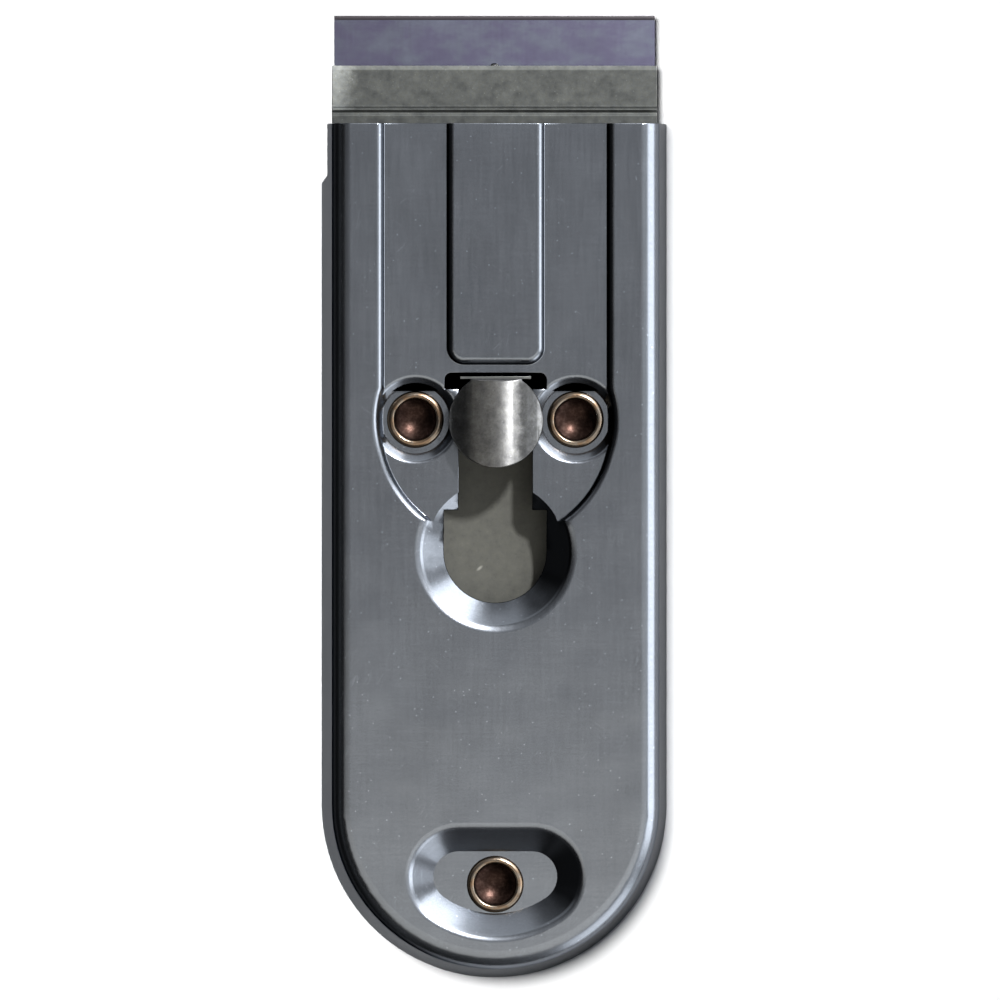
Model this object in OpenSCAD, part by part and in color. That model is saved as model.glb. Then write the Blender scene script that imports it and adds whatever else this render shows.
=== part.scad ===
// Pocket scraper with a retractable single-edge blade.
// X is the width, Y the length with the cutting edge at +Y, and Z the thickness.
// The handle lies on its back at z = 0 and the blade is out and locked.

/* [Handle] */
// Length of the handle, from the tail to the mouth
handle_l = 101.45; // [94:0.05:122]
// Length of blade that stands out of the mouth
blade_reach = 12.85; // [10:0.05:15]
// Height of the handle's rim
handle_h = 8; // [7.2:0.1:10]
// Sheet thickness of the front shell
shell_t = 0.6; // [0.45:0.05:0.75]
// Outside radius of the bend round the front shell's rim
edge_r = 1.7; // [1.2:0.1:2.4]
// Draft of the front shell's wall, in degrees
draft = 9; // [5:0.5:12]
// Sheet thickness of the back plate
plate_t = 0.8; // [0.6:0.05:1]

/* [Front panel] */
// Half width of the sunk panel, to the top of its step
panel_hw = 14.15; // [13:0.05:14.6]
// Depth of the sunk panel below the rim
panel_depth = 0.8; // [0.6:0.05:1]
// Outside radius of the bend at the top of the steps round the panel and the rib
step_bend_r = 0.85; // [0.8:0.05:0.95]
// Slope of the steps round the panel and the rib, in degrees
step_angle = 65; // [60:1:66]
// Radius of the panel's round end, to the top of its step
panel_end_r = 14.45; // [13.2:0.05:14.8]
// Distance from the lock notch back to the centre of the panel's round end
panel_end_back = 6.3; // [5:0.1:8]
// Half width of the panel where it bulges beside the upper rivets, to the top of its step
bulge_hw = 14.75; // [14.2:0.05:15.2]
// Radius of the panel's bulges, to the top of their step
bulge_r = 12.45; // [9:0.05:16]
// Half width of the raised rib's top
rib_hw = 4.9; // [4.5:0.05:6]
// Height of the rib above the panel
rib_rise = 0.7; // [0.6:0.05:0.75]
// Corner radius of the end of the rib's top
rib_corner_r = 1.15; // [0.8:0.05:2]
// Distance from the lock notch to the end of the rib's top
rib_gap = 1.85; // [1.6:0.05:4.5]

/* [Slot and keyhole] */
// Distance from the mouth back to the lock notch's front edge
notch_back = 29.6; // [27:0.1:32]
// Width of the thumb slot
slot_w = 8.76; // [7.4:0.02:10.6]
// Width of the lock notch's shoulder on each side of the slot
notch_step = 1.67; // [1:0.01:1.8]
// Length of the lock notch along the handle
notch_l = 1.95; // [1.6:0.05:2.4]
// Width of the keyhole
key_w = 12.2; // [11.4:0.05:14]
// Distance from the notch's front edge to the keyhole's shoulders
slot_l = 16.3; // [15.8:0.1:18]
// Distance from the keyhole's shoulders to the centre of its round end
key_drop = 4.9; // [4.5:0.1:5.5]
// Width of the dish round the keyhole, seen from above
dish_w = 3.65; // [3.3:0.05:4]
// Outside radius of the bend at the top of the dish
dish_bend_r = 1.6; // [1.2:0.1:2.4]
// Slope of the dish, in degrees
dish_angle = 44; // [38:1:45]

/* [Rivets] */
// Outside radius of a rivet's shank
rivet_r = 2.9; // [2.6:0.05:3]
// Outside radius of a rivet's rolled ring
ring_r = 3.4; // [3.2:0.05:3.6]
// Height of a rivet's rolled ring
ring_h = 0.4; // [0.35:0.05:0.6]
// Radius of the ring's inner edge
ring_edge_r = 0.3; // [0.2:0.05:0.3]
// Inside radius of a rivet's cup
cup_r = 2.48; // [2.1:0.02:2.54]
// Depth of a rivet's cup below the top of its rolled ring
cup_depth = 2.1; // [1.6:0.1:2.3]
// Radius of the hollow bottom of a rivet's cup
cup_bottom_r = 4.2; // [3:0.1:8]
// Radius of a rivet's domed head
rivet_head_r = 3.2; // [3.05:0.05:3.9]
// Height of a rivet's domed head
rivet_head_h = 1.2; // [1:0.05:1.4]
// Gap round a rivet's head in its boss
head_gap = 0.3; // [0.2:0.05:0.5]
// Wall thickness of the drawn bosses
boss_wall = 0.7; // [0.5:0.05:0.8]
// Gap between the upper bosses and the sliding spring tongue
boss_gap = 0.425; // [0.3:0.005:1]
// Distance from the lock notch back to the upper rivets
rivet_back = 5.55; // [5:0.05:7]
// Depth of an upper rivet's seat below the panel
seat_depth = 0.9; // [0.7:0.05:1]
// Radius of an upper rivet's seat, to the top of its slope
seat_r = 5.35; // [5.2:0.05:5.8]
// Outside radius of the bend at the top of an upper rivet's seat
seat_bend_r = 0.8; // [0.8:0.05:1.2]
// Slope round an upper rivet's seat, in degrees
seat_angle = 42; // [40:1:50]
// Distance from the tail to the tail rivet
tail_rivet_l = 11.15; // [10.5:0.05:16]
// Depth of the tail rivet's recess
tail_depth = 2.4; // [1.8:0.1:2.6]
// Length of the tail recess's floor, across the handle
tail_floor_l = 14.7; // [12:0.1:16]
// Radius of the round ends of the tail recess's floor
tail_end_r = 3; // [2.6:0.1:3.4]
// Radius of the rear edge of the tail recess's floor
tail_rear_r = 10.6; // [9:0.1:16]
// Distance from the tail rivet's centre to the front edge of the recess's floor
tail_front_gap = 3.9; // [3.6:0.05:4.2]
// Outside radius of the bend at the top of the tail recess
tail_bend_r = 1.6; // [1:0.1:2.4]
// Slope round the tail recess, in degrees
tail_angle = 39.5; // [36:0.5:45]

/* [Blade] */
// Width of the blade
blade_w = 38.1; // [31.7:0.1:46]
// Length of the blade with its spine
blade_l = 19; // [18.5:0.1:23]
// Thickness of the blade
blade_t = 0.25; // [0.2:0.01:0.35]
// Length of the ground edge
bevel_l = 0.5; // [0.3:0.05:0.9]
// Length of the folded spine
spine_l = 6.35; // [5.5:0.05:7]
// Thickness of the folded spine
spine_t = 1.1; // [0.9:0.05:1.35]

/* [Blade clip] */
// Sheet thickness of the blade clip
clip_t = 0.5; // [0.4:0.05:0.6]
// Width of the clip beyond the blade, on each side
clip_edge = 0.25; // [0.1:0.05:0.5]
// Length of the flat lips at the clip's front
lip_l = 4.75; // [3.5:0.05:5.5]
// Length of the joggle behind the flat lips
joggle_l = 0.45; // [0.4:0.05:0.8]
// Distance from the blade's spine to the joggle
joggle_gap = 1.5; // [1.2:0.05:2]
// Length of the crease behind the upper leaf's joggle
crease_l = 0.8; // [0.6:0.05:1]
// Depth of the crease behind the upper leaf's joggle
crease_depth = 0.14; // [0.05:0.01:0.2]

/* [Thumb slide] */
// Width of the spring tongue
tongue_w = 9.75; // [8.2:0.05:11.7]
// Thickness of the spring tongue
tongue_t = 0.3; // [0.25:0.05:0.35]
// Length of the tongue's level end
tongue_level_l = 6; // [3:0.5:12]
// Length of the spring's pad on the blade clip
pad_l = 4.8; // [4:0.1:5.2]
// Gap between the tongue and the dish at the keyhole's shoulders
tongue_gap = 0.28; // [0.2:0.02:0.6]
// Radius of the thumb disc
disc_r = 5.6; // [4.7:0.05:6.6]
// Distance from the lock notch back to the centre of the disc
disc_back = 5.66; // [5:0.02:6.4]
// Sheet thickness of the thumb disc
disc_t = 0.5; // [0.4:0.05:0.6]
// Height of the disc's crown above the rim
disc_rise = 3.3; // [3.2:0.1:4.2]
// Radius of the disc's arch
arch_r = 11; // [10.5:0.5:16]
// Outside radius of the bend between the disc and its leg
disc_bend_r = 0.7; // [0.6:0.1:1.8]
// Width of the leg under the disc
leg_w = 6.1; // [5:0.1:7]
// Radius of the small rivet's shank
pin_r = 0.8; // [0.6:0.05:0.9]
// Radius of the small rivet's head
pin_head_r = 1.1; // [1:0.05:1.15]
// Thickness of the small rivet's head
pin_head_t = 0.3; // [0.2:0.05:0.4]

/* [Fits] */
// Gap round a seated or nested piece
fit_gap = 0.05; // [0.03:0.01:0.08]
// Radial gap round a rivet's shank
rivet_gap = 0.03; // [0.02:0.01:0.06]
// Gap under the sliding blade clip
slide_gap = 0.1; // [0.08:0.01:0.15]
// Gap between the blade clip and the handle's walls, on each side
clip_side_gap = 0.12; // [0.1:0.01:0.3]
// Gap between the clip's lips and the blade
lip_gap = 0.075; // [0.05:0.005:0.1]
// Gap between the upstand and each side of the slot
upstand_side_gap = 0.18; // [0.12:0.01:0.3]
// Gap between the upstand and the lock notch's front edge
upstand_gap = 0.43; // [0.4:0.01:0.6]
// Gap between the blade clip and the opening for changing a blade
change_gap = 0.6; // [0.4:0.05:1]

/* [Hidden] */
$fn = 96;

past = 1;
curve_n = 8;
bend_n = 8;

// Places along the handle.
overall_l = handle_l + blade_reach;
tail_y = -overall_l / 2;
mouth_y = tail_y + handle_l;
edge_y = mouth_y + blade_reach;
notch_y = mouth_y - notch_back;
panel_end_y = notch_y - panel_end_back;
key_y = notch_y - slot_l;
key_cy = key_y - key_drop;
rib_end_y = notch_y + rib_gap;
rivet_y = notch_y - rivet_back;
tail_rivet_y = tail_y + tail_rivet_l;

// Heights.
panel_z = handle_h - panel_depth;
seat_z = panel_z - seat_depth;
tail_seat_z = handle_h - tail_depth;

// Blade and clip, stacked up from the plate.
clip_low_z = plate_t + slide_gap;
spine_z = clip_low_z + clip_t + fit_gap;
blade_z = spine_z + spine_t / 2;
clip_high_z = spine_z + spine_t + fit_gap;
clip_top_z = clip_high_z + clip_t;
clip_hw = blade_w / 2 + clip_edge;
spine_y = edge_y - blade_l;
fold_y = spine_y + spine_t / 2;
blade_rear_y = spine_y + (spine_t - blade_t) / 2;
joggle_y = spine_y + spine_l + joggle_gap;
lip_end_y = joggle_y + joggle_l + lip_l;

// Front shell, round the clip.
inner_hw = clip_hw + clip_side_gap + clip_top_z * tan(draft);
handle_hw = inner_hw + shell_t / cos(draft);
tail_cy = tail_y + handle_hw;
bend_z = handle_h - edge_r;
bend_x = handle_hw - edge_r * cos(draft) - (bend_z + edge_r * sin(draft)) * tan(draft);
dish_r = key_w / 2 + dish_w;

// Back plate, inside the walls.
plate_hw = inner_hw - plate_t * tan(draft) - fit_gap;

// Side opening through which a blade is changed.
change_y = spine_y - 0.4;
change_top_z = clip_top_z + change_gap;

// Thumb slide. The tongue passes under the dish's lowest point beside the slot.
shoulder_r = sqrt(pow(slot_w / 2, 2) + pow(key_drop, 2));
dish_under_r = dish_r - (dish_bend_r - shell_t) * sin(dish_angle);
dish_under_z = handle_h - dish_bend_r + (dish_bend_r - shell_t) * cos(dish_angle);
tongue_top = dish_under_z - max(0, dish_under_r - shoulder_r) * tan(dish_angle) - tongue_gap;
tongue_z = tongue_top - tongue_t;
pad_z = clip_top_z + fit_gap;
pivot_y = fold_y - (clip_top_z - blade_z) + 0.1;
upstand_y = notch_y - upstand_gap;
upstand_w = slot_w - 2 * upstand_side_gap;
leg_y = upstand_y - tongue_t;
disc_cy = notch_y - disc_back;
crown_z = handle_h + disc_rise;
pin_z = tongue_top + 1.2;

// Upper rivets, on each side of the tongue.
boss_r = rivet_head_r + head_gap + boss_wall;
rivet_x = max(tongue_w, upstand_w) / 2 + boss_gap + boss_r;

// Tail recess: the rear edge is an arc that meets both round ends.
tail_end_x = tail_floor_l / 2 - tail_end_r;
tail_end_y = tail_rivet_y + tail_front_gap - tail_end_r;
tail_rear_cy = tail_end_y + sqrt(pow(tail_rear_r - tail_end_r, 2) - pow(tail_end_x, 2));
tail_wall_run = sink_run(tail_bend_r, tail_angle, tail_depth);

function s_curve(from, to) = [for (i = [0:curve_n])
    let (u = i / curve_n)
    [from[0] + (to[0] - from[0]) * u, from[1] + (to[1] - from[1]) * (1 - cos(180 * u)) / 2]];
function reversed(points) = [for (i = [len(points) - 1:-1:0]) points[i]];
function after_first(points) = [for (i = [1:len(points) - 1]) points[i]];
function raised(points, z) = [for (p = points) [p[0], p[1] + z]];

// Bend between a flat top that ends at radius r and a slope, from the slope up, at depth t in the
// sheet. The slope lies outside r for side 1 and inside it for side -1.
function bend_points(r, top, bend_r, angle, side, t) = [for (i = [bend_n:-1:0])
    let (a = angle * i / bend_n)
    [r + side * (bend_r - t) * sin(a), top - bend_r + (bend_r - t) * cos(a)]];

// Width, seen from above, of a wall that bends down at a radius and then slopes at an angle.
function sink_run(bend_r, angle, depth) =
    bend_r * sin(angle) + (depth - bend_r * (1 - cos(angle))) / tan(angle);

// Extrudes a profile drawn in Y and Z evenly to both sides of X = 0.
module across(width) {
    rotate([90, 0, 90]) linear_extrude(width, center = true) children();
}

// Extrudes a profile drawn in X and Z from X = 0 along Y, to both sides of X = 0.
module along(y0, y1) {
    translate([0, y1, 0]) rotate([90, 0, 0]) linear_extrude(y1 - y0) {
        children();
        mirror([1, 0]) children();
    }
}

// Handle outline with a half-round tail, from a profile of radius and height.
module handle_form(y_end) {
    along(tail_cy, y_end) children();
    translate([0, tail_cy, 0]) rotate([0, 0, 180]) rotate_extrude(angle = 180) children();
}

// Profile of the front shell's outside, or of its inside at depth t, down to the height low.
module front_profile(t, low) {
    r = edge_r - t;
    foot_x = handle_hw - t / cos(draft) - low * tan(draft);
    polygon([[0, low], [foot_x, low], [bend_x + r * cos(draft), bend_z + r * sin(draft)],
        [bend_x, bend_z], [bend_x, handle_h - t], [0, handle_h - t]]);
    translate([bend_x, bend_z]) circle(r);
}

// Profile of a sinking from radius 0 to its wall, at depth t in the sheet. The wall bends down
// from the top edge at radius r, slopes at the angle and meets the flat bottom in a corner.
module sink_profile(r, bend_r, angle, top, bottom, t) {
    bend = bend_points(r, top, bend_r, angle, -1, t);
    foot_x = bend[0][0] - (bend[0][1] - bottom + t) / tan(angle);
    polygon(concat([[0, bottom - t], [foot_x, bottom - t]], bend,
        [[r, handle_h + past], [0, handle_h + past]]));
}

module round_sink(r, bend_r, angle, top, bottom, t) {
    rotate_extrude() sink_profile(r, bend_r, angle, top, bottom, t);
}

// Sunk panel, as deep as the rivet seats.
module panel_sink(t) {
    along(panel_end_y, mouth_y + past) panel_profile(panel_hw, t);
    translate([0, panel_end_y, 0]) rotate_extrude() panel_profile(panel_end_r, t);
    for (s = [-1, 1])
        translate([s * (bulge_hw - bulge_r), rivet_y, 0])
            rotate_extrude() panel_profile(bulge_r, t);
}

module panel_profile(r, t) {
    sink_profile(r, step_bend_r, step_angle, handle_h, seat_z, t);
}

// Floor left standing in the panel, with the two rivet seats sunk in it.
module panel_floor(t) {
    difference() {
        translate([-handle_hw, panel_end_y - handle_hw, 0])
            cube([2 * handle_hw, mouth_y + 2 * past - panel_end_y + handle_hw, panel_z - t]);
        at_upper_rivets() round_sink(seat_r, seat_bend_r, seat_angle, panel_z, seat_z, t);
    }
}

// Profile of the rib left standing in the panel, from radius 0 to the foot of its wall.
module rib_profile(r, t) {
    top = panel_z + rib_rise;
    low = panel_z - t;
    bend = bend_points(r, top, step_bend_r, step_angle, 1, t);
    foot_x = bend[0][0] + (bend[0][1] - low) / tan(step_angle);
    polygon(concat([[0, low - past], [foot_x, low - past], [foot_x, low]], bend, [[0, top - t]]));
}

module rib_form(t) {
    centre_x = rib_hw - rib_corner_r;
    centre_y = rib_end_y + rib_corner_r;
    along(centre_y, mouth_y + past) rib_profile(rib_hw, t);
    translate([0, centre_y, 0]) mirror([0, 1, 0]) across(2 * centre_x)
        rib_profile(rib_corner_r, t);
    for (s = [-1, 1])
        translate([s * centre_x, centre_y, 0]) rotate_extrude() rib_profile(rib_corner_r, t);
}

// Dish round the keyhole. Its bottom lies inside the keyhole's edge.
module dish_sink(t) {
    depth = dish_bend_r * (1 - cos(dish_angle))
        + (dish_w + 0.5 - dish_bend_r * sin(dish_angle)) * tan(dish_angle);
    round_sink(dish_r, dish_bend_r, dish_angle, handle_h, handle_h - depth, t);
}

// Recess round the tail rivet: straight front edge, round ends and an arc for its rear edge. Its
// pieces meet on flat faces.
module tail_sink(t) {
    rear_angle = atan2(tail_end_x, tail_rear_cy - tail_end_y);
    past_end = tail_rear_r + handle_hw;
    lap = 0.5;
    translate([0, tail_end_y, 0]) across(2 * tail_end_x) tail_profile(tail_end_r, t);
    for (s = [0, 1])
        mirror([s, 0, 0]) translate([tail_end_x, tail_end_y, 0]) rotate([0, 0, rear_angle - 90])
            rotate_extrude(angle = 180 - rear_angle) tail_profile(tail_end_r, t);
    difference() {
        translate([0, tail_rear_cy, 0]) rotate([0, 0, -90 - rear_angle])
            rotate_extrude(angle = 2 * rear_angle) tail_profile(tail_rear_r, t);
        translate([-past_end, tail_end_y + lap, 0]) cube([2 * past_end, past_end, 3 * handle_h]);
    }
}

module tail_profile(floor_r, t) {
    sink_profile(floor_r + tail_wall_run, tail_bend_r, tail_angle, handle_h, tail_seat_z, t);
}

// Everything pressed into the front shell's top face, at depth t in the sheet.
module front_sinks(t) {
    difference() {
        panel_sink(t);
        panel_floor(t);
        rib_form(t);
    }
    translate([0, key_cy, 0]) dish_sink(t);
    tail_sink(t);
}

module at_upper_rivets() {
    for (s = [-1, 1]) translate([s * rivet_x, rivet_y, 0]) children();
}

// Lock notch, thumb slot and keyhole, seen from above.
module slot_outline() {
    notch_w = slot_w + 2 * notch_step;
    corner_r = 0.8;
    translate([-slot_w / 2, key_y - past]) square([slot_w, slot_l - notch_l + 2 * past]);
    translate([-notch_w / 2, notch_y - notch_l]) square([notch_w, notch_l - corner_r]);
    translate([corner_r - notch_w / 2, notch_y - notch_l]) square([notch_w - 2 * corner_r, notch_l]);
    for (s = [-1, 1])
        translate([s * (notch_w / 2 - corner_r), notch_y - corner_r]) circle(corner_r);
    translate([-key_w / 2, key_cy]) square([key_w, key_drop]);
    translate([0, key_cy]) circle(key_w / 2);
}

module front_shell() {
    color([0.42, 0.43, 0.46]) difference() {
        difference() {
            handle_form(mouth_y) front_profile(0, 0);
            front_sinks(0);
        }
        difference() {
            handle_form(mouth_y + past) front_profile(shell_t, -past);
            front_sinks(shell_t);
        }
        translate([0, 0, -past]) linear_extrude(handle_h + 2 * past) slot_outline();
        at_upper_rivets() cylinder(r = rivet_r + rivet_gap, h = handle_h + past);
        translate([0, tail_rivet_y, 0]) cylinder(r = rivet_r + rivet_gap, h = handle_h + past);
        side_opening();
    }
}

// Cut in the left wall, with its rear edge sloped.
module side_opening() {
    lean = 0.9;
    mirror([1, 0, 0]) translate([handle_hw, 0, 0]) across(4) polygon([[change_y - lean / 2, -past],
        [change_y - lean / 2, 0], [change_y + lean / 2, change_top_z],
        [mouth_y + past, change_top_z], [mouth_y + past, -past]]);
}

// Boss under a rivet seat: its outside, with a small fillet at its foot.
module boss_form(top) {
    foot_r = 0.5;
    rotate_extrude() {
        square([boss_r, top]);
        difference() {
            square([boss_r + foot_r, plate_t + foot_r]);
            translate([boss_r + foot_r, plate_t + foot_r]) circle(foot_r);
        }
    }
}

// The hollow behind a boss, open to the back, with a rounded mouth.
module boss_hollow(top) {
    r = rivet_head_r + head_gap;
    mouth_r = 0.6;
    rotate_extrude() {
        translate([0, -past]) square([r, top - boss_wall + past]);
        difference() {
            translate([0, -past]) square([r + mouth_r, mouth_r + past]);
            translate([r + mouth_r, mouth_r]) circle(mouth_r);
        }
    }
}

module back_plate() {
    top = seat_z - shell_t;
    tail_top = tail_seat_z - shell_t;
    color([0.46, 0.46, 0.45]) difference() {
        union() {
            handle_form(mouth_y) square([plate_hw, plate_t]);
            at_upper_rivets() boss_form(top);
            translate([0, tail_rivet_y, 0]) boss_form(tail_top);
        }
        at_upper_rivets() boss_hollow(top);
        translate([0, tail_rivet_y, 0]) boss_hollow(tail_top);
        at_upper_rivets() cylinder(r = rivet_r + rivet_gap, h = handle_h);
        translate([0, tail_rivet_y, 0]) cylinder(r = rivet_r + rivet_gap, h = handle_h);
    }
}

// Semi-tubular rivet: domed head in the boss, cupped shank rolled over on the seat.
module rivet(seat) {
    crest_x = cup_r + ring_edge_r;
    crest_z = seat + ring_h;
    ring_w = ring_r - crest_x;
    outer_r = (pow(ring_w, 2) + pow(ring_h, 2)) / (2 * ring_h);
    head_top = seat - shell_t - boss_wall;
    dome_r = (pow(rivet_head_r, 2) + pow(rivet_head_h, 2)) / (2 * rivet_head_h);
    cup_z = crest_z - cup_depth;
    rotate_extrude() difference() {
        union() {
            translate([0, head_top - 0.1]) square([rivet_r, seat - head_top + 0.1]);
            translate([0, seat]) square([crest_x, ring_h - ring_edge_r]);
            intersection() {
                translate([crest_x, crest_z - ring_edge_r]) circle(ring_edge_r);
                translate([0, seat]) square([crest_x, ring_h]);
            }
            intersection() {
                translate([crest_x, crest_z - outer_r]) circle(outer_r);
                translate([crest_x, seat]) square([ring_w, ring_h]);
            }
            intersection() {
                translate([0, head_top - rivet_head_h + dome_r]) circle(dome_r);
                translate([0, head_top - rivet_head_h]) square([rivet_head_r, rivet_head_h]);
            }
        }
        intersection() {
            translate([0, cup_z + cup_bottom_r]) circle(cup_bottom_r);
            translate([0, cup_z]) square([cup_r, handle_h]);
        }
        translate([0, cup_z + cup_bottom_r]) square([cup_r, handle_h]);
    }
}

module rivet_left() {
    color([0.5, 0.4, 0.28]) translate([-rivet_x, rivet_y, 0]) rivet(seat_z);
}

module rivet_right() {
    color([0.5, 0.4, 0.28]) translate([rivet_x, rivet_y, 0]) rivet(seat_z);
}

module rivet_tail() {
    color([0.5, 0.4, 0.28]) translate([0, tail_rivet_y, 0]) rivet(tail_seat_z);
}

// Sheet strip whose underside follows the points.
module strip(points, t) {
    polygon(concat(points, reversed(raised(points, t))));
}

// One sheet folded round the blade's spine, its two leaves stepped in to the blade ahead of it.
module blade_clip() {
    low_lip_z = blade_z - blade_t / 2 - lip_gap - clip_t;
    high_lip_z = blade_z + blade_t / 2 + lip_gap;
    low = concat([[fold_y, clip_low_z]],
        s_curve([joggle_y, clip_low_z], [joggle_y + joggle_l, low_lip_z]),
        [[lip_end_y - 0.5, low_lip_z]]);
    crease_mid = [joggle_y - crease_l / 2, clip_high_z - crease_depth];
    high = concat([[fold_y, clip_high_z]],
        s_curve([joggle_y - crease_l, clip_high_z], crease_mid),
        after_first(s_curve(crease_mid, [joggle_y, clip_high_z])),
        after_first(s_curve([joggle_y, clip_high_z], [joggle_y + joggle_l, high_lip_z])),
        [[lip_end_y, high_lip_z]]);
    color([0.55, 0.55, 0.52]) across(2 * clip_hw) {
        strip(low, clip_t);
        strip(high, clip_t);
        translate([fold_y, blade_z]) difference() {
            circle(clip_top_z - blade_z);
            circle(clip_high_z - blade_z);
            translate([0, -handle_h]) square(2 * handle_h);
        }
    }
}

// Leaf spring: a pad on the blade clip, a tongue down the handle and an upstand in the lock notch.
module thumb_spring() {
    bend_r = 0.3;
    lug_w = (tongue_w - upstand_w) / 2 - 0.1;
    level_y = upstand_y + tongue_level_l;
    color([0.5, 0.5, 0.47]) difference() {
        union() {
            across(tongue_w) strip([[leg_y + bend_r, tongue_z], [level_y, tongue_z], [pivot_y, pad_z],
                [fold_y + pad_l, pad_z]], tongue_t);
            for (s = [-1, 1])
                translate([s * (tongue_w - lug_w) / 2, 0, 0]) across(lug_w)
                    translate([leg_y, tongue_z]) square([bend_r + 0.1, tongue_t]);
            across(upstand_w) {
                translate([leg_y, tongue_z + bend_r]) square([tongue_t, panel_z - tongue_z - bend_r]);
                translate([leg_y + bend_r, tongue_z]) square([0.1, bend_r]);
                intersection() {
                    translate([leg_y + bend_r, tongue_z + bend_r]) circle(bend_r);
                    translate([leg_y, tongue_z]) square(bend_r);
                }
            }
        }
        for (s = [-1, 1])
            translate([s * tongue_w / 4, fold_y + pad_l / 2, pad_z + tongue_t - 0.1])
                cylinder(r = 0.8, h = past);
        pin_bore();
    }
}

// Bore for the small rivet through the upstand and the leg.
module pin_bore() {
    translate([0, upstand_y + past, pin_z]) rotate([90, 0, 0])
        cylinder(r = pin_r + rivet_gap, h = tongue_t + disc_t + 2 * past);
}

// Outside of the bent thumb piece, or its inside at depth t: arched across X, rounded at the front.
module thumb_form(t) {
    rear_y = disc_cy - disc_r - past;
    intersection() {
        along(rear_y, leg_y - t) intersection() {
            translate([0, crown_z - arch_r]) circle(arch_r - t);
            square([disc_r + past, crown_z]);
        }
        across(4 * disc_r) {
            translate([rear_y, 0]) square([leg_y - disc_bend_r - rear_y, crown_z - t]);
            translate([rear_y, 0]) square([leg_y - t - rear_y, crown_z - disc_bend_r]);
            translate([leg_y - disc_bend_r, crown_z - disc_bend_r]) circle(disc_bend_r - t);
        }
    }
}

// Thumb disc, with the leg that goes down through the slot.
module thumb_button() {
    sag = arch_r - sqrt(pow(arch_r, 2) - pow(disc_r, 2));
    color([0.6, 0.6, 0.57]) difference() {
        intersection() {
            difference() {
                thumb_form(0);
                thumb_form(disc_t);
            }
            union() {
                translate([0, disc_cy, crown_z - sag - 2 * disc_t]) cylinder(r = disc_r, h = handle_h);
                translate([-leg_w / 2, leg_y - disc_t - disc_bend_r, tongue_top])
                    cube([leg_w, disc_t + disc_bend_r, crown_z]);
            }
        }
        pin_bore();
    }
}

// Small rivet that holds the thumb piece's leg to the spring's upstand. Its front end is flush.
module button_rivet() {
    color([0.6, 0.6, 0.57]) translate([0, upstand_y, pin_z]) rotate([90, 0, 0]) {
        cylinder(r = pin_r, h = tongue_t + disc_t + pin_head_t);
        translate([0, 0, tongue_t + disc_t]) cylinder(r = pin_head_r, h = pin_head_t);
    }
}

module blade() {
    hole_r = 0.6;
    color([0.4, 0.39, 0.46]) difference() {
        across(blade_w) polygon([[blade_rear_y, blade_z - blade_t / 2],
            [edge_y - bevel_l, blade_z - blade_t / 2], [edge_y, blade_z],
            [edge_y - bevel_l, blade_z + blade_t / 2], [blade_rear_y, blade_z + blade_t / 2]]);
        translate([0, lip_end_y - hole_r / 2, 0]) cylinder(r = hole_r, h = handle_h);
    }
}

// Steel strip folded over the blade's rear edge.
module blade_spine() {
    color([0.35, 0.35, 0.38]) across(blade_w) difference() {
        union() {
            translate([fold_y, blade_z]) circle(spine_t / 2);
            translate([fold_y, spine_z]) square([spine_l - spine_t / 2, spine_t]);
        }
        translate([blade_rear_y, blade_z - blade_t / 2]) square([spine_l, blade_t]);
    }
}

front_shell();
back_plate();
rivet_left();
rivet_right();
rivet_tail();
blade_clip();
thumb_spring();
thumb_button();
button_rivet();
blade();
blade_spine();
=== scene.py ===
import math

import bpy
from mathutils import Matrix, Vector


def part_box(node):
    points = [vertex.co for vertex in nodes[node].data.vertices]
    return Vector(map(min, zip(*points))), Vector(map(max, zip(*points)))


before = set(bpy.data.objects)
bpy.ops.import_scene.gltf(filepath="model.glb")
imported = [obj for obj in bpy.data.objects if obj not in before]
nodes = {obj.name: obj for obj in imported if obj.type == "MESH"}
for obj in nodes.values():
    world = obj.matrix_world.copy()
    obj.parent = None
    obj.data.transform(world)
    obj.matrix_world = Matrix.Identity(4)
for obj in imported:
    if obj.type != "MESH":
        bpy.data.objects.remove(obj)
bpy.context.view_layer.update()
scene = bpy.context.scene

# Lengths and places are in millimetres, and those of the floor, lamps and camera in metres.
MM = 0.001
RIVETS = ("rivet_left", "rivet_right", "rivet_tail")

# ---------------------------------------------------------------- node helpers

# The sockets of a Mix node that mixes colours.
MIX_FACTOR, MIX_A, MIX_B, MIX_RESULT = 0, 6, 7, 2


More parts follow.
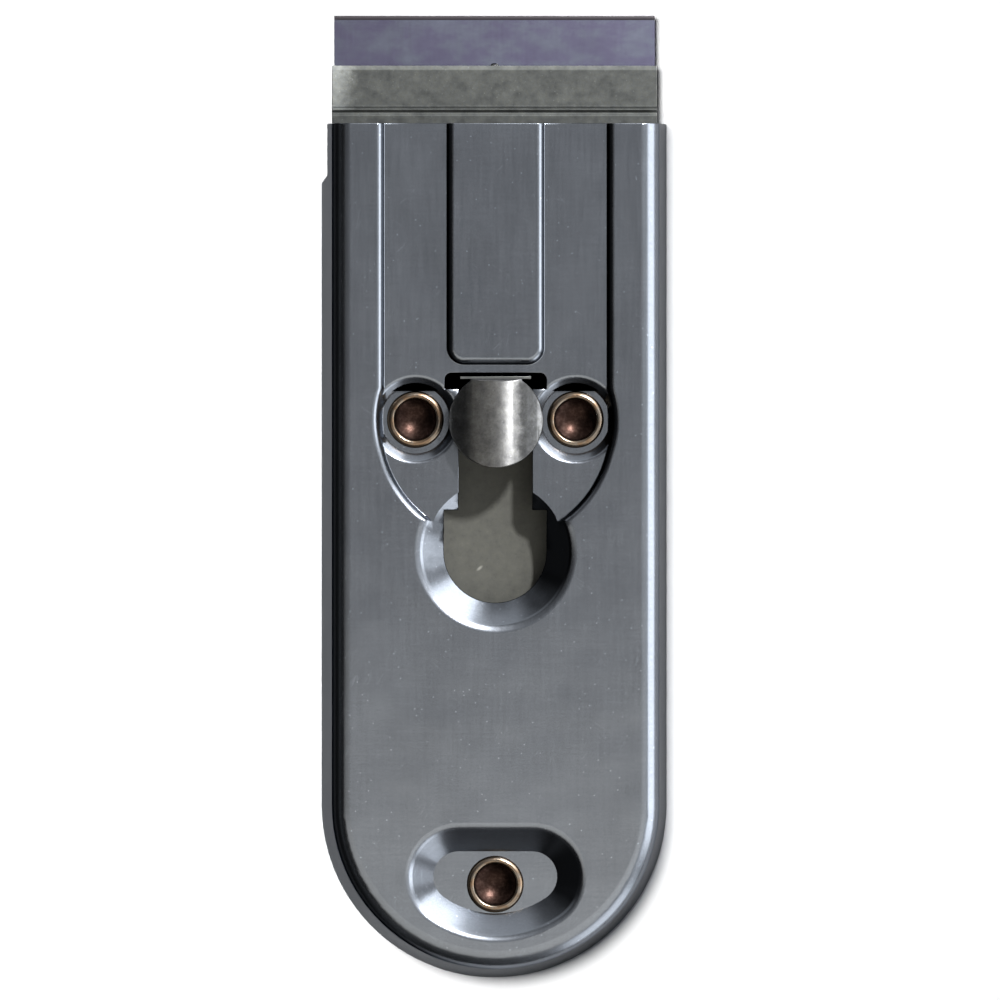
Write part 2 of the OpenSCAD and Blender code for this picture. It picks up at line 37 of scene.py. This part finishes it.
class Tree:
    """The node tree of a material or world, with short calls for the nodes used here."""

    def __init__(self, owner):
        owner.use_nodes = True
        self.tree = owner.node_tree
        self.tree.nodes.clear()

    def add(self, kind, **settings):
        node = self.tree.nodes.new(kind)
        for name, value in settings.items():
            setattr(node, name, value)
        return node

    def put(self, socket, value):
        """Links the socket to another node's output, or gives it a constant."""
        if hasattr(value, "is_output"):
            self.tree.links.new(value, socket)
        else:
            socket.default_value = value

    def math(self, operation, *values):
        node = self.add("ShaderNodeMath", operation=operation)
        for socket, value in zip(node.inputs, values):
            self.put(socket, value)
        return node.outputs[0]

    def times(self, *values):
        result = values[0]
        for value in values[1:]:
            result = self.math("MULTIPLY", result, value)
        return result

    def plus(self, *values):
        result = values[0]
        for value in values[1:]:
            result = self.math("ADD", result, value)
        return result

    def one_less(self, amount):
        return self.math("SUBTRACT", 1.0, amount)

    def length(self, a, b):
        """The length of a vector with two components."""
        return self.math("SQRT", self.plus(self.times(a, a), self.times(b, b)))

    def around(self, value, spread):
        """A shade round 1 from a noise value round a half."""
        return self.math("MULTIPLY_ADD", value, 2 * spread, 1 - spread)

    def ramp(self, value, low, high, to_low=0.0, to_high=1.0, smooth=True):
        node = self.add("ShaderNodeMapRange", clamp=True)
        node.interpolation_type = "SMOOTHSTEP" if smooth else "LINEAR"
        for socket, number in zip(node.inputs, (value, low, high, to_low, to_high)):
            self.put(socket, number)
        return node.outputs[0]

    def fade(self, value, low, high):
        """1 up to the low value, and 0 from the high value on."""
        return self.ramp(value, low, high, 1.0, 0.0)

    def mix(self, factor, a, b):
        node = self.add("ShaderNodeMix", data_type="RGBA")
        for socket, value in ((MIX_FACTOR, factor), (MIX_A, a), (MIX_B, b)):
            self.put(node.inputs[socket], value)
        return node.outputs[MIX_RESULT]

    def scale(self, colour, factor):
        node = self.add("ShaderNodeVectorMath", operation="SCALE")
        self.put(node.inputs[0], colour[:3] if isinstance(colour, tuple) else colour)
        self.put(node.inputs["Scale"], factor)
        return node.outputs[0]

    def place(self, stretch=(1, 1, 1), shift=(0, 0, 0), turn=0.0):
        """Object coordinates in millimetres, turned about Z in degrees, stretched and shifted."""
        here = self.add("ShaderNodeTexCoord").outputs["Object"]
        if turn:
            node = self.add("ShaderNodeMapping")
            self.put(node.inputs["Vector"], here)
            node.inputs["Rotation"].default_value = (0, 0, math.radians(turn))
            here = node.outputs[0]
        node = self.add("ShaderNodeMapping")
        self.put(node.inputs["Vector"], here)
        node.inputs["Scale"].default_value = [s / MM for s in stretch]
        node.inputs["Location"].default_value = shift
        return node.outputs[0]

    def noise(self, per_mm, detail=3.0, rough=0.55, **where):
        node = self.add("ShaderNodeTexNoise")
        self.put(node.inputs["Vector"], self.place(**where))
        for name, value in (("Scale", per_mm), ("Detail", detail), ("Roughness", rough)):
            node.inputs[name].default_value = value
        return node.outputs[0]

    def cells(self, per_mm, feature="F1", **where):
        """The distance from a cell's centre or, with DISTANCE_TO_EDGE, from its border."""
        node = self.add("ShaderNodeTexVoronoi", feature=feature)
        self.put(node.inputs["Vector"], self.place(**where))
        node.inputs["Scale"].default_value = per_mm
        return node.outputs["Distance"]

    def split(self, vector):
        node = self.add("ShaderNodeSeparateXYZ")
        self.put(node.inputs[0], vector)
        return node.outputs

    def position(self, turn=0.0):
        """X, Y and Z in millimetres."""
        return self.split(self.place(turn=turn))

    def facing(self):
        """X, Y and Z of the surface's own normal."""
        return self.split(self.add("ShaderNodeTexCoord").outputs["Normal"])

    def bump(self, height, strength, distance, normal=None):
        node = self.add("ShaderNodeBump")
        if normal is not None:
            self.put(node.inputs["Normal"], normal)
        self.put(node.inputs["Strength"], strength)
        node.inputs["Distance"].default_value = distance
        self.put(node.inputs["Height"], height)
        return node.outputs[0]

    def surface(self, **values):
        shader = self.add("ShaderNodeBsdfPrincipled")
        for name, value in values.items():
            self.put(shader.inputs[name.replace("_", " ")], value)
        out = self.add("ShaderNodeOutputMaterial")
        self.tree.links.new(shader.outputs[0], out.inputs["Surface"])


def rgba(r, g, b):
    return (r, g, b, 1.0)


def grey(level):
    return rgba(level, level, level)


def material(name):
    mat = bpy.data.materials.new(name)
    return mat, Tree(mat)


def metal(t, colour, roughness, normal, edge=1.0, **more):
    """A bare metal surface. The edge is its tint at grazing angles."""
    t.surface(Base_Color=colour, Metallic=1.0, Roughness=roughness, Normal=normal,
              Specular_Tint=grey(edge), **more)


def dress(node, mat):
    mesh = nodes[node].data
    mesh.materials.clear()
    mesh.materials.append(mat)
    mesh.polygons.foreach_set("material_index", [0] * len(mesh.polygons))


# ---------------------------------------------------------------- plated sheet

PLATING, BLUED = (0.181, 0.195, 0.219), (0.11, 0.11, 0.125)
GRAIN_HEIGHT = 0.02
GRAIN_STRENGTH = 0.12
SPECK_R = (0.04, 0.11)
SCRATCH_WIDTH = 0.012
SCRATCH_STRETCH = (1.0, 0.045, 1.0)
SCRATCH_FADE = 0.06
# How deep a scratch is, beside the grain.
SCRATCH_DEPTH = -0.6
# Two sets of scratches: the turn in degrees, how many per mm, and the share of the sheet.
SCRATCH_SETS = ((24, 0.9, 0.42), (-57, 0.8, 0.38))
# How much lighter a speck and a scratch are than the sheet.
SPECK_LIGHT, SCRATCH_LIGHT = 0.6, 0.2

# Painted shade: the way, left and a little towards the tail, in which the bends are painted
# darker, standing in for the dark side of the studio that they reflect. It counts where the
# normal leans that way by these amounts, above the walls and below the flats.
DARK_X, DARK_Y = -0.98, -0.17
DARK_LEAN = (0.1, 0.6)
ABOVE_WALL, BELOW_FLAT = (0.2, 0.4), (0.86, 0.98)
BEND_PAINTED_SHADE = 0.93
# Painted shade along the foot of the steps, in the creases: the heights where it sets in and
# ends, where it begins behind the mouth, how far it lies from the middle line, and how much it
# darkens.
FOOT_SHADE_BOTTOM, FOOT_SHADE_TOP = (7.21, 7.24), (7.35, 7.55)
FOOT_SHADE_START = (13.0, 15.0)
FOOT_SHADE_REACH = (16.2, 16.6)
FOOT_SHADE_AMOUNT = 0.7

# The radius of the handle's round end, and where the face rounds down before the rim's bend,
# from the middle line or the round end's centre.
TAIL_R = 20.52
ROUNDING = (17.2, 18.7)
ROUNDING_DROP = -0.2
WAVE_HEIGHT = 0.08
# The dish round the keyhole: its centre, its rim, and the change of its slope.
DISH_Y = -6.5
DISH_R = 9.75
DISH_SLOPE = -0.17
# A face is sloping where the normal's Z is below the first value, and flat above the second.
SLOPING = (0.9, 0.98)


def scratches(t, turn, per_mm, share):
    """Fine straight scratches: 1 on a scratch, 0 elsewhere."""
    line = t.cells(per_mm, feature="DISTANCE_TO_EDGE", stretch=SCRATCH_STRETCH, turn=turn)
    patch = t.noise(0.35, detail=2.0, shift=(turn, 3.0, 1.0))
    there = t.ramp(patch, 1 - share, 1 + SCRATCH_FADE - share)
    return t.times(t.fade(line, 0.0, SCRATCH_WIDTH), there)


def plating(name, colour, roughness, form=None):
    """Satin plated sheet: grain, marks along and across it, patches, specks and scratches, with
    painted shade on the bends and at the foot of the steps.
    """
    mat, t = material(name)
    grain = t.noise(5.0, detail=4.0, rough=0.65)
    rolled = t.noise(3.2, detail=5.0, rough=0.62, stretch=(1.0, 0.05, 1.0))
    cloud = t.noise(0.09, rough=0.5, shift=(3.0, 7.0, 1.0))
    across = t.noise(2.0, detail=5.0, rough=0.7, stretch=(0.12, 1.5, 1.0), shift=(2.0, 9.0, 1.0))
    mottle = t.noise(0.5, detail=4.0, rough=0.6, shift=(1.0, 2.0, 5.0))
    speck = t.fade(t.cells(0.9), *SPECK_R)
    scratch = t.plus(*(scratches(t, *one_set) for one_set in SCRATCH_SETS))
    shade = t.times(t.around(grain, 0.16), t.around(rolled, 0.07), t.around(cloud, 0.06),
                    t.around(mottle, 0.05), t.around(across, 0.10))
    shade = t.plus(shade, t.times(speck, SPECK_LIGHT), t.times(scratch, SCRATCH_LIGHT))
    # Painted shade: the bends that face the dark way are darkened in the colour, but not flats
    # and walls.
    nx, ny, nz = t.facing()
    side = t.ramp(t.plus(t.times(nx, DARK_X), t.times(ny, DARK_Y)), *DARK_LEAN)
    painted_bend_shade = t.times(t.ramp(nz, *ABOVE_WALL), t.ramp(nz, *BELOW_FLAT, BEND_PAINTED_SHADE, 0.0))
    shade = t.times(shade, t.one_less(t.times(side, painted_bend_shade)))
    # Painted shade darkens the foot of the steps, in the creases.
    x, y, z = t.position()
    foot_shade = t.times(t.ramp(z, *FOOT_SHADE_BOTTOM), t.fade(z, *FOOT_SHADE_TOP), t.ramp(y, *FOOT_SHADE_START),
                   t.fade(t.math("ABSOLUTE", x), *FOOT_SHADE_REACH))
    shade = t.times(shade, t.one_less(t.times(foot_shade, FOOT_SHADE_AMOUNT)))
    rough = t.plus(roughness - 0.05, t.times(rolled, 0.06), t.times(cloud, 0.04))
    height = t.plus(grain, t.times(scratch, SCRATCH_DEPTH))
    normal = t.bump(height, GRAIN_STRENGTH, GRAIN_HEIGHT * MM, form and form(t))
    metal(t, t.scale(rgba(*colour), shade), rough, normal, edge=0.28)
    return mat


def pressed(t):
    """The pressed sheet's soft form: a rounding before the rim's bend, waves and the dish."""
    x, y = t.position()[:2]
    tail_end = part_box("front_shell")[0].y / MM
    past = t.math("MINIMUM", t.plus(y, -tail_end - TAIL_R), 0.0)
    rounding = t.ramp(t.length(x, past), *ROUNDING, 0.0, ROUNDING_DROP)
    wave = t.noise(0.13, detail=1.0, shift=(6.0, 2.0, 9.0))
    rounded = t.bump(t.plus(rounding, t.times(wave, WAVE_HEIGHT)), 1.0, MM)
    dish = t.math("MINIMUM", t.length(x, t.plus(y, -DISH_Y)), DISH_R)
    # Only a sloping face is turned, so that the panel above the dish stays flat.
    sloping = t.fade(t.facing()[2], *SLOPING)
    return t.bump(t.times(dish, DISH_SLOPE), sloping, MM, rounded)


# ---------------------------------------------------------------- zinc, rivets and blade

ZINC, BRIGHT_ZINC = (0.085, 0.089, 0.088), (0.2, 0.205, 0.2)
PLATE_ZINC, DISC_ZINC = (0.082, 0.082, 0.075), (0.135, 0.135, 0.137)
OLIVE, PLATE_OLIVE = (0.045, 0.045, 0.036), (0.06, 0.06, 0.048)
# The noise values between which zinc turns dull, and how much rougher it is there.
DULL, DULL_ROUGH = (0.55, 0.85), 0.10
SPARK_R = (0.06, 0.16)

# The clip's lip: the limits in X, Y and Z of its bright left end, how much brighter it is from
# its rear to its front, where the painted highlight on its fold starts, and how much brighter
# that is.
LIP_X, LIP_Y, LIP_Z = (-17.2, -14.6), (45.6, 46.1), (2.2, 2.4)
LIP_LENGTH, LIP_BRIGHT = (46.0, 51.0), (1.3, 2.6)
LIP_FOLD, FOLD_HIGHLIGHT = (50.6, 50.8), 0.9
# A painted glint on the back plate: the turn in degrees of its axes, its place and its shape.
GLINT_TURN = -40
GLINT_X, GLINT_Y = -6.8, -5.4
GLINT_SQUEEZE = 6.0
GLINT_R, GLINT_BRIGHT = (0.1, 0.6), 1.4
# Painted shade and a painted highlight on the thumb disc: where the painted shade sets in, and
# where the painted highlight on its rim starts, to the right of the middle; its shade before and
# after the first, and what the rim's painted highlight adds.
DISC_SHADE_STEP, DISC_RIM_HIGHLIGHT = (3.4, 4.6), (4.7, 5.1)
DISC_SHADES, RIM_HIGHLIGHT = (1.25, 0.5), 0.9

# A rivet's cup and ring end at these radii, and the cup is stained down to this depth.
CUP_R, RING_R = (2.40, 2.60), (3.0, 3.3)
CUP_DEPTH = (2.6, 2.3)
RING_BRONZE, RING_PALE = rgba(0.17, 0.115, 0.075), rgba(0.19, 0.16, 0.13)
SKIRT_BROWN = rgba(0.12, 0.09, 0.06)
RING_ROUGH, CUP_ROUGH = 0.24, 0.34
STAIN_DARK, STAIN_LIGHT = rgba(0.018, 0.010, 0.008), rgba(0.036, 0.022, 0.018)

# The blade: half of its width, its painted light, darker at the left and lighter at the right,
# and how far the ground bevel reaches from its edge.
BLADE_HALF_WIDTH = 19.0
BLADE_PAINTED_LIGHT = (0.86, 1.3)
GROUND = (0.56, 0.48)
BLADE_ROUGH = 0.26
BLADE_VIOLET, BLADE_BLUE = rgba(0.185, 0.175, 0.265), rgba(0.19, 0.20, 0.262)
BLADE_GROUND = rgba(0.06, 0.055, 0.06)


def zinc(name, colour, dark, roughness, anisotropic=0.0, speckle=3.0, contrast=0.5, bump=0.1,
         sparkle=0.4, patches=0.45, painted_light=None):
    """Zinc-coated sheet with a fine dull speckle."""
    mat, t = material(name)
    fleck = t.noise(speckle, rough=0.7)
    patch = t.noise(0.8, detail=4.0, rough=0.6, shift=(2.0, 5.0, 3.0))
    dull = t.times(t.ramp(t.plus(fleck, t.times(patch, 0.35)), *DULL), contrast)
    mixed = t.mix(dull, rgba(*colour), rgba(*dark))
    spark = t.ramp(t.cells(1.6, shift=(4.0, 4.0, 4.0)), *SPARK_R, sparkle, 0.0)
    shade = t.plus(t.times(t.around(fleck, 0.3), t.around(patch, patches)), spark)
    # The extra marks, painted highlights, a painted glint and painted shade, scale the colour.
    if painted_light:
        shade = t.times(shade, painted_light(t))
    rough = t.plus(roughness, t.times(dull, DULL_ROUGH))
    normal = t.bump(t.plus(fleck, t.times(patch, 0.5)), bump, GRAIN_HEIGHT * MM)
    more = {}
    if anisotropic:
        along_y = t.add("ShaderNodeCombineXYZ")
        along_y.inputs["Y"].default_value = 1.0
        more = {"Anisotropic": anisotropic, "Tangent": along_y.outputs[0]}
    metal(t, t.scale(mixed, shade), rough, normal, edge=0.4, **more)
    return mat


def ragged(t, value, swing, per_mm, shift):
    """The value with an uneven shift, for a border that isn't straight."""
    return t.plus(value, t.times(t.noise(per_mm, detail=4.0, rough=0.7, shift=shift), swing))


def lip_end_and_fold_highlight(t):
    """The clip's lip is brighter at its left end, and more so towards its front; the bright band
    on its fold is a painted highlight.
    """
    x, y, z = t.position()
    across = ragged(t, x, swing=3.0, per_mm=0.9, shift=(1.0, 1.0, 1.0))
    end = t.times(t.fade(across, *LIP_X), t.ramp(y, *LIP_Y), t.ramp(z, *LIP_Z))
    brighter = t.ramp(y, *LIP_LENGTH, *LIP_BRIGHT)
    return t.plus(1.0, t.times(end, brighter), t.times(t.ramp(y, *LIP_FOLD), FOLD_HIGHLIGHT))


def plate_glint(t):
    """A small painted glint on the back plate, under the keyhole."""
    x, y = t.position(turn=GLINT_TURN)[:2]
    dx, dy = t.plus(x, -GLINT_X), t.plus(y, -GLINT_Y)
    glint = t.math("SQRT", t.plus(t.times(dx, dx), t.times(dy, dy, GLINT_SQUEEZE)))
    return t.plus(1.0, t.ramp(glint, *GLINT_R, GLINT_BRIGHT, 0.0))


def disc_painted_light(t):
    """The thumb disc has painted shade to the right of its crown and a painted highlight on its
    rim.
    """
    x = t.position()[0]
    across = ragged(t, x, swing=2.4, per_mm=0.8, shift=(7.0, 1.0, 1.0))
    rim_highlight = t.ramp(x, *DISC_RIM_HIGHLIGHT, 0.0, RIM_HIGHLIGHT)
    return t.plus(t.ramp(across, *DISC_SHADE_STEP, *DISC_SHADES), rim_highlight)


def rivet_metal(name, node):
    """Bronze-coloured ring, dark and stained in the cup."""
    mat, t = material(name)
    low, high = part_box(node)
    front_z = high.z / MM
    x, y, z = t.position()
    dx, dy = (t.math("SUBTRACT", value, (a + b) / 2 / MM)
              for value, a, b in ((x, low.x, high.x), (y, low.y, high.y)))
    fine = t.noise(2.5, detail=4.0, rough=0.65)
    radius = t.plus(t.length(dx, dy), t.times(t.math("SUBTRACT", fine, 0.5), 0.12))
    front = t.ramp(z, *(front_z - depth for depth in CUP_DEPTH))
    cup = t.times(t.fade(radius, *CUP_R), front)
    patch = t.noise(0.9, detail=2.0, shift=(5.0, 1.0, 2.0))
    ring = t.mix(t.ramp(patch, 0.35, 0.65), RING_BRONZE, RING_PALE)
    ring = t.mix(t.ramp(radius, *RING_R), ring, SKIRT_BROWN)
    stain = t.mix(t.ramp(fine, 0.4, 0.7), STAIN_DARK, STAIN_LIGHT)
    rough = t.ramp(cup, 0.0, 1.0, RING_ROUGH, CUP_ROUGH, smooth=False)
    metal(t, t.mix(cup, ring, stain), rough, t.bump(fine, 0.15, 0.03 * MM), edge=0.5)
    return mat


def blade_steel(name):
    """Ground blade steel: fine lines across the edge, a darker ground bevel and painted light
    that is lighter to the right.
    """
    mat, t = material(name)
    x, y = t.position()[:2]
    lines = t.noise(4.0, detail=4.0, rough=0.6, stretch=(1.0, 0.04, 1.0))
    cloud = t.noise(0.12)
    smear = t.noise(0.42, detail=5.0, rough=0.66, stretch=(0.6, 1.0, 1.0), shift=(8.0, 2.0, 0.0))
    # Painted light: the blade is lighter to the right, the side the light comes from.
    painted_light_to_right = t.ramp(x, -BLADE_HALF_WIDTH, BLADE_HALF_WIDTH, *BLADE_PAINTED_LIGHT, smooth=False)
    shade = t.times(t.around(lines, 0.10), t.around(cloud, 0.15), t.around(smear, 0.3), painted_light_to_right)
    flat = t.scale(t.mix(t.ramp(smear, 0.38, 0.62), BLADE_VIOLET, BLADE_BLUE), shade)
    edge_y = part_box("blade")[1].y / MM
    ground = t.ramp(y, *(edge_y - width for width in GROUND))
    normal = t.bump(lines, 0.05, GRAIN_HEIGHT * MM)
    metal(t, t.mix(ground, flat, BLADE_GROUND), BLADE_ROUGH, normal)
    return mat


dress("front_shell", plating("front_plating", PLATING, roughness=0.24, form=pressed))
dress("back_plate", zinc("back_zinc", PLATE_ZINC, PLATE_OLIVE, roughness=0.5, speckle=2.0,
                         contrast=0.3, bump=0.04, sparkle=0.1, patches=0.3,
                         painted_light=plate_glint))
dress("blade_clip", zinc("clip_zinc", ZINC, OLIVE, roughness=0.38, anisotropic=0.6,
                         patches=0.7, painted_light=lip_end_and_fold_highlight))
dress("thumb_spring", zinc("spring_zinc", BRIGHT_ZINC, OLIVE, roughness=0.3, contrast=0.3,
                           bump=0.05))
dress("thumb_button", zinc("disc_zinc", DISC_ZINC, OLIVE, roughness=0.29, anisotropic=0.8,
                           bump=0.3, patches=0.9, painted_light=disc_painted_light))
dress("button_rivet", zinc("pin_zinc", BRIGHT_ZINC, OLIVE, roughness=0.3, contrast=0.3,
                           bump=0.04))
for rivet in RIVETS:
    dress(rivet, rivet_metal(rivet + "_plating", rivet))
dress("blade", blade_steel("blade_ground"))
dress("blade_spine", plating("spine_blued", BLUED, roughness=0.32))

# ---------------------------------------------------------------- edges and smooth shading

# Angles between two faces, in degrees: up to the first they become one flat face, above the
# second their edge is shaded sharp, and above the third it is rounded.
FLAT_LIMIT, SMOOTH_LIMIT, BEVEL_LIMIT = 0.3, 30, 45
# Corners nearer than this become one.
WELD = 0.001
# How far the larger faces decide the shading of a corner: 50 is neutral and 100 is the most.
LARGE_FACE_WEIGHT = 100

# How wide each piece's edges are rounded.
BEVELS = {
    "front_shell": 0.10,
    "back_plate": 0.06,
    "blade_clip": 0.06,
    "thumb_spring": 0.05,
    "thumb_button": 0.14,
    "button_rivet": 0.05,
    **dict.fromkeys(RIVETS, 0.05),
    "blade": 0.01,
    "blade_spine": 0.04,
}


def shading_group(limit):
    """Geometry nodes that shade a mesh smooth, but for edges sharper than the limit."""
    group = bpy.data.node_groups.new("shade by angle", "GeometryNodeTree")
    for in_out in ("INPUT", "OUTPUT"):
        group.interface.new_socket("Geometry", in_out=in_out, socket_type="NodeSocketGeometry")
    start, faces, edges, end = (group.nodes.new(kind) for kind in (
        "NodeGroupInput", "GeometryNodeSetShadeSmooth", "GeometryNodeSetShadeSmooth",
        "NodeGroupOutput"))
    angle = group.nodes.new("GeometryNodeInputMeshEdgeAngle")
    sharp = group.nodes.new("FunctionNodeCompare")
    sharp.data_type = "FLOAT"
    sharp.operation = "GREATER_THAN"
    sharp.inputs[1].default_value = math.radians(limit)
    edges.domain = "EDGE"
    edges.inputs["Shade Smooth"].default_value = False
    group.links.new(angle.outputs[0], sharp.inputs[0])
    group.links.new(sharp.outputs[0], edges.inputs["Selection"])
    for a, b in ((start, faces), (faces, edges), (edges, end)):
        group.links.new(a.outputs[0], b.inputs[0])
    return group


SHADING = shading_group(SMOOTH_LIMIT)


def finish(node, width, segments):
    """Joins the node's faces, rounds its sharp edges and shades its bends smooth."""
    piece = nodes[node]
    normals = piece.data.attributes.get("custom_normal")
    if normals:
        piece.data.attributes.remove(normals)
    weld = piece.modifiers.new("weld", "WELD")
    weld.merge_threshold = WELD * MM
    flat = piece.modifiers.new("flat", "DECIMATE")
    flat.decimate_type = "DISSOLVE"
    flat.angle_limit = math.radians(FLAT_LIMIT)
    bevel = piece.modifiers.new("edge", "BEVEL")
    bevel.use_clamp_overlap = False
    bevel.width = width * MM
    bevel.segments = segments
    bevel.limit_method = "ANGLE"
    bevel.angle_limit = math.radians(BEVEL_LIMIT)
    bevel.face_strength_mode = "FSTR_AFFECTED"
    shade = piece.modifiers.new("shade", "NODES")
    shade.node_group = SHADING
    weighted = piece.modifiers.new("weighted", "WEIGHTED_NORMAL")
    weighted.keep_sharp = True
    weighted.weight = LARGE_FACE_WEIGHT
    weighted.use_face_influence = True


for node, width in BEVELS.items():
    finish(node, width, segments=1 if node == "blade" else 2)

# ---------------------------------------------------------------- floor

# Half the floor's side, and how far the floor lies under the object.
FLOOR_REACH = 6.0
FLOOR_DROP = 0.00005
FLOOR_CORNERS = [(x * FLOOR_REACH, y * FLOOR_REACH, 0)
                 for x, y in ((-1, -1), (1, -1), (1, 1), (-1, 1))]

floor_mesh = bpy.data.meshes.new("floor")
floor_mesh.from_pydata(FLOOR_CORNERS, [], [(0, 1, 2, 3)])
floor = bpy.data.objects.new("floor", floor_mesh)
floor.location.z = -FLOOR_DROP
scene.collection.objects.link(floor)
floor_mat, floor_tree = material("floor_paper")
floor_tree.surface(Base_Color=grey(0.95), Roughness=0.9, Specular_IOR_Level=0.0)
floor_mesh.materials.append(floor_mat)

# ---------------------------------------------------------------- studio

SKY_COLOUR = rgba(0.95, 0.975, 1.0)
# Overhead the studio is grey. Its level rises from the left to the middle and on to the right,
# by the direction's X. It falls towards the tail, by Y, and towards the horizon, in degrees.
LEFT_TO_MIDDLE, LEFT_LEVELS = (-0.6, 0.05), (0.004, 0.37)
MIDDLE_TO_RIGHT, RIGHT_LEVELS = (0.05, 0.45), (0.0, 0.5)
TAIL_TO_FRONT, FRONT_SHARES = (-0.95, 0.1), (0.35, 1.0)
TO_HORIZON, HORIZON_SHARES = (60.0, 90.0), (1.0, 0.6)
# How softly a window's borders fade, in degrees.
TURN_EDGE, FALL_EDGE = 5.0, 6.0
WINDOWS = [
    # azimuth from +X and angle from the zenith, in degrees; strength
    ((31, 69), (41, 100), 6.0),
    ((-16, 13), (40, 72), 4.6),
    ((-18, 12), (66, 100), 0.8),
    ((-62, -30), (50, 84), 2.9),
    ((72, 112), (60, 100), 0.9),
    ((112, 150), (48, 72), 0.6),
    ((156, 200), (60, 95), 0.3),
    ((-200, -122), (60, 95), 0.3),
]

# The studio shows in the metal only. The floor has a lamp of its own.
world = bpy.data.worlds.new("studio")
scene.world = world
world.cycles_visibility.diffuse = False
studio = Tree(world)
east, north, up = studio.split(studio.add("ShaderNodeTexCoord").outputs["Generated"])
azimuth = studio.math("DEGREES", studio.math("ARCTAN2", north, east))
zenith = studio.math("DEGREES", studio.math("ARCCOSINE", up))


def window(turn, fall, strength):
    """A bright patch of the studio, by its range of azimuth and of angle from the zenith."""
    patch = strength
    for value, (low, high), edge in ((azimuth, turn, TURN_EDGE), (zenith, fall, FALL_EDGE)):
        patch = studio.times(patch, studio.ramp(value, low - edge, low + edge),
                             studio.fade(value, high - edge, high + edge))
    return patch


level = studio.plus(studio.ramp(east, *LEFT_TO_MIDDLE, *LEFT_LEVELS, smooth=False),
                    studio.ramp(east, *MIDDLE_TO_RIGHT, *RIGHT_LEVELS, smooth=False))
level = studio.times(level, studio.ramp(north, *TAIL_TO_FRONT, *FRONT_SHARES),
                     studio.ramp(zenith, *TO_HORIZON, *HORIZON_SHARES))
for turn, fall, strength in WINDOWS:
    level = studio.plus(level, window(turn, fall, strength))
sky = studio.add("ShaderNodeBackground")
studio.put(sky.inputs["Color"], SKY_COLOUR)
studio.put(sky.inputs["Strength"], level)
world_out = studio.add("ShaderNodeOutputWorld")
studio.tree.links.new(sky.outputs[0], world_out.inputs["Surface"])

# ---------------------------------------------------------------- lamps

CARD_COLOUR = (1.0, 0.96, 0.87)


def lamp(name, position, size, watts, aim=(0, 0, 0), size_y=None, colour=(1, 1, 1)):
    """A soft lamp that the camera doesn't see: a disc, or a rectangle if size_y is given."""
    data = bpy.data.lights.new(name, "AREA")
    data.shape = "DISK" if size_y is None else "RECTANGLE"
    data.size = size
    if size_y is not None:
        data.size_y = size_y
    data.energy = watts
    data.color = colour
    light = bpy.data.objects.new(name, data)
    light.location = position
    light.rotation_mode = "QUATERNION"
    light.rotation_quaternion = (Vector(position) - Vector(aim)).to_track_quat("Z", "Y")
    light.visible_camera = False
    scene.collection.objects.link(light)
    return light


# The key gives the metal its highlights and the shadows inside the slot.
key = lamp("key", (0.37, 0.6, 1.0), size=0.10, watts=24.0)
key.visible_diffuse = False
# A lower card over the tail makes the flat faces lighter that way.
card = lamp("card", (0.0, -0.24, 0.45), size=0.5, watts=0.75, aim=(0.0, -0.24, 0.0),
            size_y=0.4, colour=CARD_COLOUR)
card.visible_diffuse = False
# This one lights the paper, with the shadow to the right and towards the tail.
paper = lamp("paper", (-0.19, 0.19, 1.0), size=0.32, watts=13.0)
paper.visible_glossy = False

# ---------------------------------------------------------------- camera

# The lens and the sensor in millimetres, what the picture's width covers, the point that the
# camera looks at, and how near and far it sees.
LENS, SENSOR_WIDTH = 1000, 36
VIEW_WIDTH = 0.1189
AIM = Vector((0.0005, -0.0004, 0.008))
CLIP_START, CLIP_END = 0.1, 20
# The view is tilted a little, so that more shows of the left wall than of the right one.
TILT = math.radians(1.5)

camera_data = bpy.data.cameras.new("camera")
camera_data.lens = LENS
camera_data.sensor_width = SENSOR_WIDTH
camera_data.clip_start, camera_data.clip_end = CLIP_START, CLIP_END
camera = bpy.data.objects.new("camera", camera_data)
distance = VIEW_WIDTH * LENS / SENSOR_WIDTH - AIM.z
camera.location = AIM + distance * Vector((-math.sin(TILT), 0.0, math.cos(TILT)))
camera.rotation_euler = (0.0, -TILT, 0.0)
scene.collection.objects.link(camera)
scene.camera = camera
scene.view_settings.view_transform = "Standard"
